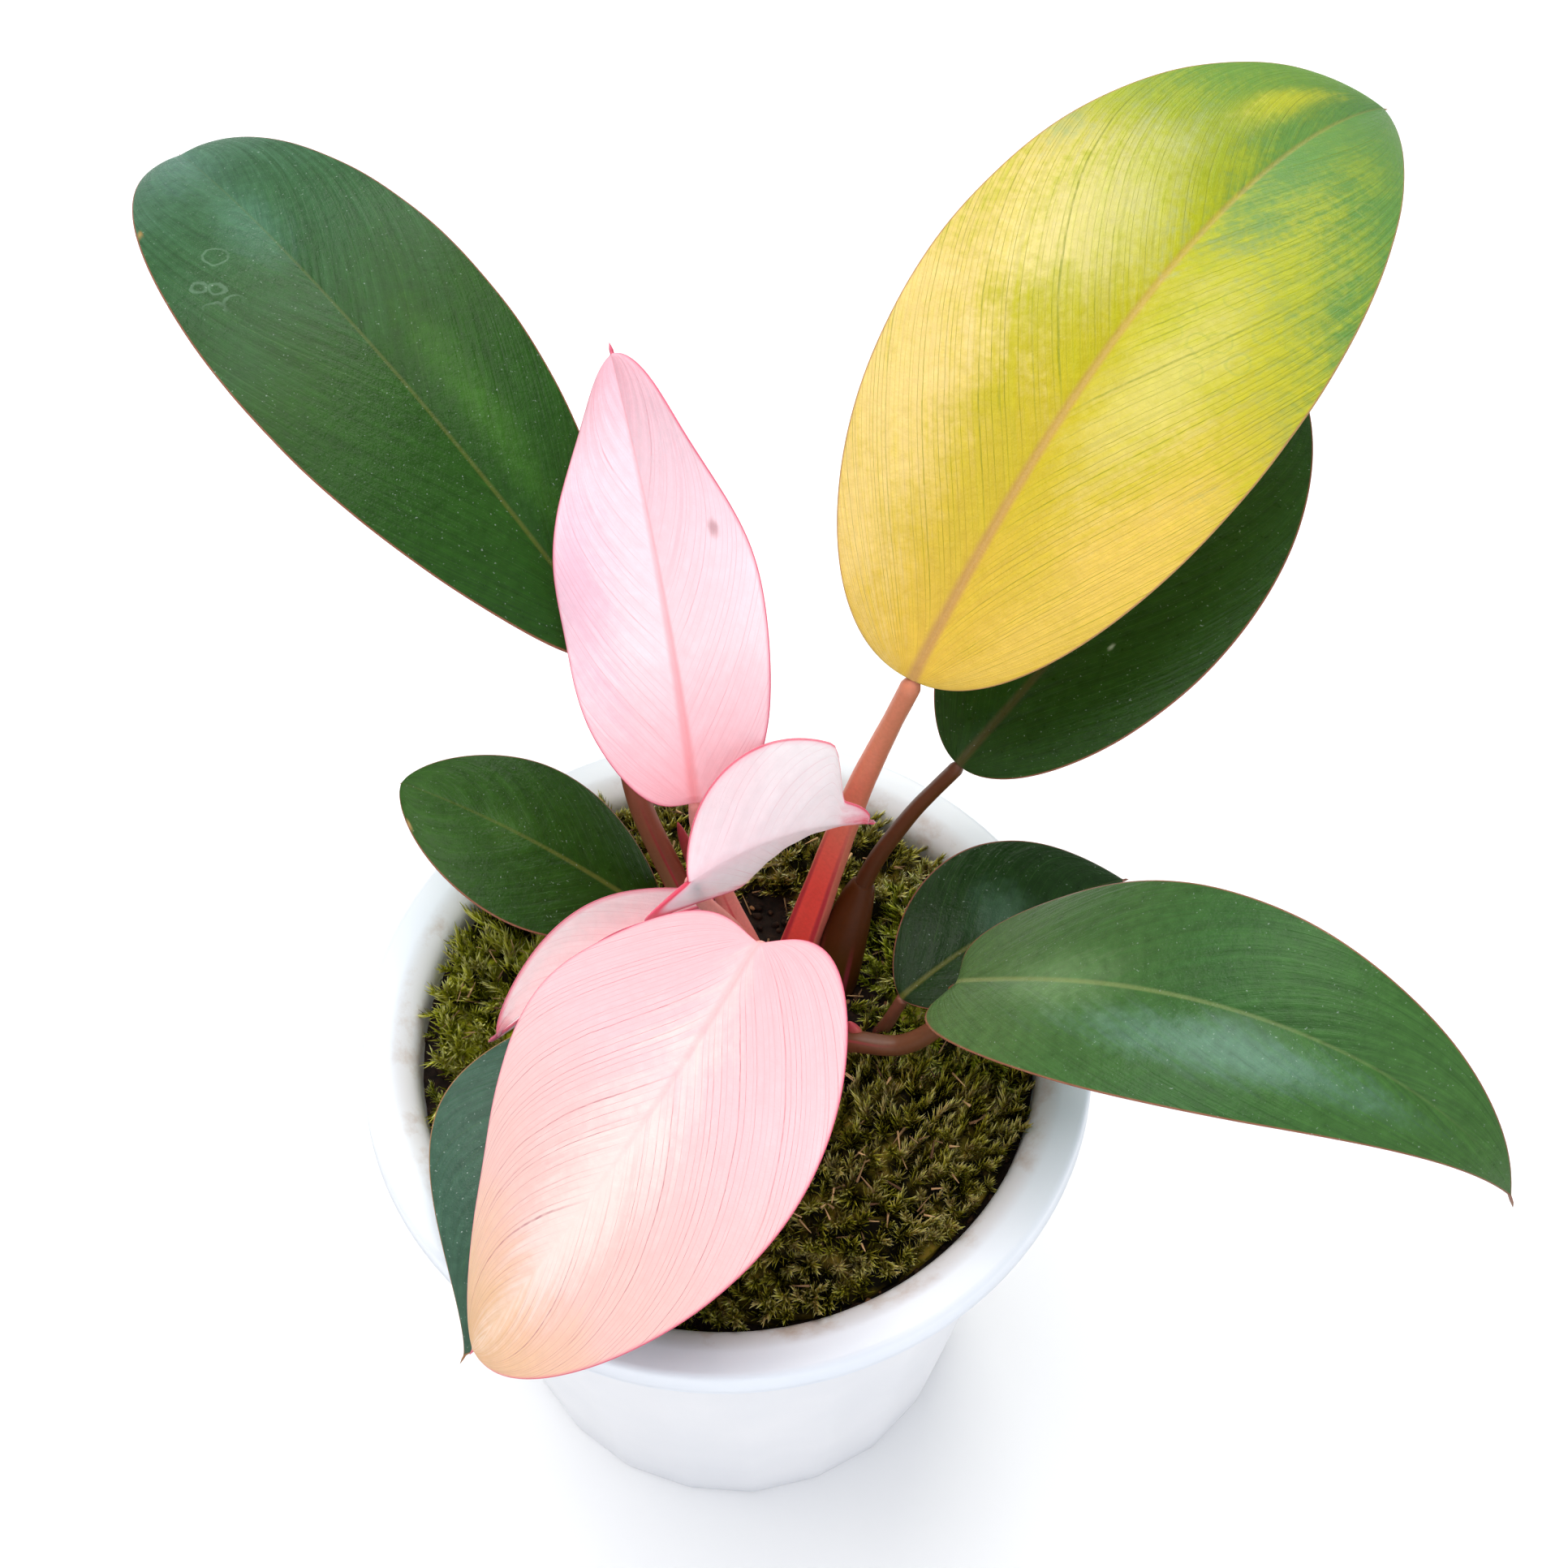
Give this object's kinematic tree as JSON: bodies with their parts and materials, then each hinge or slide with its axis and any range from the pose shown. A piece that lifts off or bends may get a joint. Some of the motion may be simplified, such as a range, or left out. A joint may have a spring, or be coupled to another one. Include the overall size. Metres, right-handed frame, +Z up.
{
  "type": "potted pink congo philodendron",
  "caption": "Young self-heading aroid house plant with pink, yellow-green and dark green leaves on fleshy stalks, in a white tapered nursery pot topped with moss.",
  "frame": {"origin": "centre of the pot's foot, on the surface that it stands on", "axes": "+Z up out of the pot; +Y from the front of the plant to its back, as the picture sees it; +X to the right"},
  "size_m": [0.2622, 0.2389, 0.2575],
  "materials": {
    "pot": "moulded white polypropylene, half gloss",
    "soil": "moist dark potting mix, matt",
    "moss": "living cushion moss, matt",
    "stem": "short stem with brown leaf scars",
    "papery_sheath": "dry brown leaf sheath",
    "brown_stalk": "smooth fleshy stalk, satin",
    "salmon_stalk": "smooth fleshy stalk, satin",
    "red_stalk": "smooth fleshy stalk, satin",
    "green_leaf": "thick leaf blade, waxy sheen",
    "yellow_leaf": "thick leaf blade turning green, waxy sheen",
    "pink_leaf": "soft young leaf blade, satin",
    "pale_pink_leaf": "soft young leaf blade, satin"
  },
  "bodies": {
    "root": {"petiole_green_tall_left": "brown_stalk", "petiole_pink_upright": "salmon_stalk", "petiole_yellow_large": "red_stalk", "petiole_green_tall_right": "brown_stalk", "sheath_green_tall_right": "papery_sheath", "petiole_green_small_left": "brown_stalk", "petiole_pink_folded": "salmon_stalk", "petiole_pink_small_left": "salmon_stalk", "petiole_pink_large": "salmon_stalk", "petiole_green_low_front": "brown_stalk", "petiole_green_small_right": "brown_stalk", "petiole_green_front_right": "brown_stalk", "blade_green_tall_left": "green_leaf", "blade_pink_upright": "pink_leaf", "blade_yellow_large": "yellow_leaf", "blade_green_tall_right": "green_leaf", "blade_green_small_left": "green_leaf", "blade_pink_folded": "pale_pink_leaf", "blade_pink_small_left": "pink_leaf", "blade_pink_large": "pink_leaf", "blade_green_low_front": "green_leaf", "blade_green_small_right": "green_leaf", "blade_green_front_right": "green_leaf", "soil": "soil", "stem": "stem", "moss_front": "moss", "moss_front_left": "moss", "moss_left": "moss", "moss_back_left": "moss", "moss_back_right": "moss", "moss_right": "moss", "pot": "pot"}
  },
  "joints": []
}
